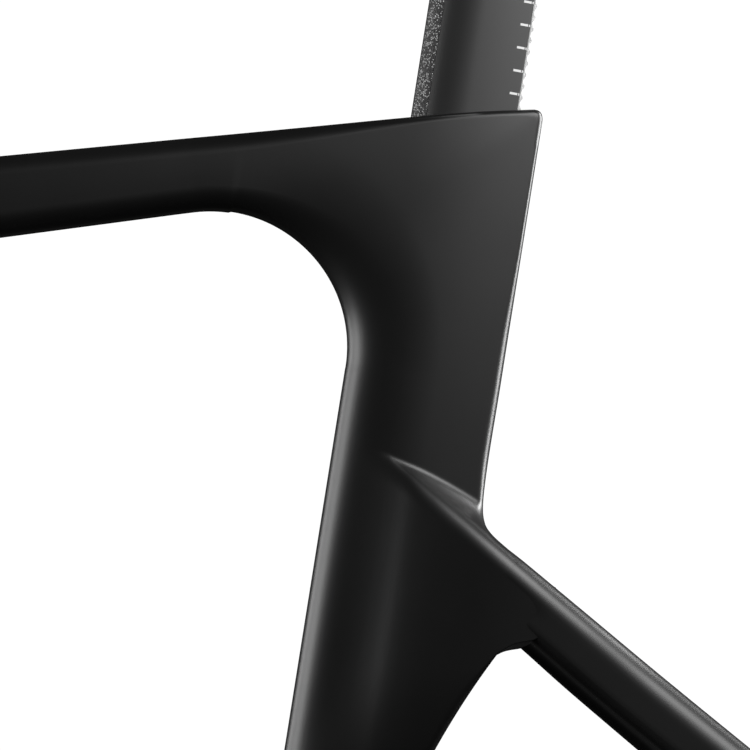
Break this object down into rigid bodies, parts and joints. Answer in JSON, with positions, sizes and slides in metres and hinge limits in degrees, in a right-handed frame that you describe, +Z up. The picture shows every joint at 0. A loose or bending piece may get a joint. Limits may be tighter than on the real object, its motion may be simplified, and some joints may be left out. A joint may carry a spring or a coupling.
{
  "type": "bicycle frame",
  "caption": "Aero road bicycle frame with steering fork, deep seat tube, dropped seatstays that flare from it, and a sliding flattened seatpost held by a hidden wedge.",
  "frame": {"origin": "centre of the bottom bracket bore, on the frame's middle plane", "axes": "+X to the rear wheel, +Y to the drive side along the bottom bracket bore, +Z up"},
  "size_m": [1.0097, 0.1721, 0.7348],
  "materials": {
    "satin_carbon": "satin",
    "fork_carbon": "satin",
    "post_carbon": "satin",
    "steerer_carbon": "matte",
    "grit": "gritty with pale specks",
    "pale_strip": "matte",
    "alloy": "machined",
    "black_alloy": "black anodised",
    "steel": "ground",
    "black_steel": "black oxide",
    "soft_cover": "matte",
    "cage_plastic": "matte"
  },
  "bodies": {
    "frame": {"bottom_bracket_shell": "satin_carbon", "bottom_bracket_sleeve": "alloy", "seat_tube": "satin_carbon", "top_tube": "satin_carbon", "head_tube": "satin_carbon", "down_tube": "satin_carbon", "hose_grommet": "soft_cover", "seat_bottle_bosses": "alloy", "down_bottle_bosses": "alloy", "rear_dropout_left": "black_alloy", "rear_dropout_right": "black_alloy", "seatstay_left": "satin_carbon", "seatstay_right": "satin_carbon", "chainstay_left": "satin_carbon", "chainstay_right": "satin_carbon", "derailleur_hanger": "black_alloy", "hanger_screw": "black_steel", "upper_outer_race": "steel", "lower_outer_race": "steel", "clamp_shoe": "alloy", "clamp_cap": "black_alloy", "clamp_cover": "soft_cover"},
    "fork": {"fork_steerer": "steerer_carbon", "fork_crown": "fork_carbon", "fork_blade_left": "fork_carbon", "fork_blade_right": "fork_carbon", "front_dropout_left": "black_alloy", "front_dropout_right": "black_alloy", "upper_inner_race": "steel", "lower_inner_race": "steel", "compression_ring": "black_alloy", "headset_cover": "black_alloy", "crown_race": "black_alloy", "steerer_spacer_lower": "black_alloy", "steerer_spacer_middle": "black_alloy", "steerer_spacer_upper": "black_alloy", "expander_sleeve": "black_alloy", "expander_cone": "alloy", "expander_bolt": "black_steel", "steerer_cap": "black_alloy"},
    "upper_ball_set": {"upper_balls": "steel", "upper_ball_cage": "cage_plastic"},
    "lower_ball_set": {"lower_balls": "steel", "lower_ball_cage": "cage_plastic"},
    "front_axle": {"front_axle": "black_alloy"},
    "rear_axle": {"rear_axle": "black_alloy"},
    "seatpost": {"seatpost": "post_carbon", "front_grip_left": "grit", "front_grip_right": "grit", "rear_grip": "pale_strip"},
    "saddle_clamp": {"rail_cradle_left": "black_alloy", "rail_cradle_right": "black_alloy", "rail_ear_left": "black_alloy", "rail_ear_right": "black_alloy", "saddle_bolt": "black_steel", "saddle_nut": "steel"},
    "clamp_wedge": {"clamp_wedge": "alloy"},
    "clamp_bolt": {"clamp_bolt": "black_steel"}
  },
  "joints": [
    {"name": "steering", "type": "hinge", "parent": "frame", "child": "fork", "pos_m": [-0.3807, 0, 0.5804], "axis": [0.2924, 0, 0.9563], "range_deg": [-75, 75]},
    {"name": "upper_ball_set_turn", "type": "hinge", "parent": "frame", "child": "upper_ball_set", "pos_m": [-0.38289, 0, 0.57323], "axis": [0.2924, 0, 0.9563], "range_deg": [-35, 35]},
    {"name": "lower_ball_set_turn", "type": "hinge", "parent": "frame", "child": "lower_ball_set", "pos_m": [-0.4307, 0, 0.41687], "axis": [0.2924, 0, 0.9563], "range_deg": [-35, 35]},
    {"name": "seatpost_slide", "type": "slide", "parent": "frame", "child": "seatpost", "axis": [0.284, 0, 0.9588], "range_m": [-0.085, 0.045]},
    {"name": "saddle_tilt", "type": "hinge", "parent": "seatpost", "child": "saddle_clamp", "pos_m": [0.20755, 0, 0.69153], "axis": [0, 1, 0], "range_deg": [-15, 15]},
    {"name": "clamp_bolt_turn", "type": "hinge", "parent": "frame", "child": "clamp_bolt", "pos_m": [0.1224, 0, 0.52694], "axis": [0.284, 0, 0.9588], "range_deg": [0, 1080]},
    {"name": "clamp_wedge_slide", "type": "slide", "parent": "frame", "child": "clamp_wedge", "axis": [0.284, 0, 0.9588], "range_m": [-0.0024, 0]},
    {"name": "rear_axle_slide", "type": "slide", "parent": "frame", "child": "rear_axle", "axis": [0, -1, 0], "range_m": [0, 0.175]},
    {"name": "front_axle_slide", "type": "slide", "parent": "fork", "child": "front_axle", "axis": [0, -1, 0], "range_m": [0, 0.125]}
  ],
  "couplings": [
    {"joint": "upper_ball_set_turn", "follows": "steering", "ratio": 0.461},
    {"joint": "lower_ball_set_turn", "follows": "steering", "ratio": 0.463},
    {"joint": "clamp_bolt_turn", "follows": "clamp_wedge_slide", "rad_per_m": -7854}
  ]
}
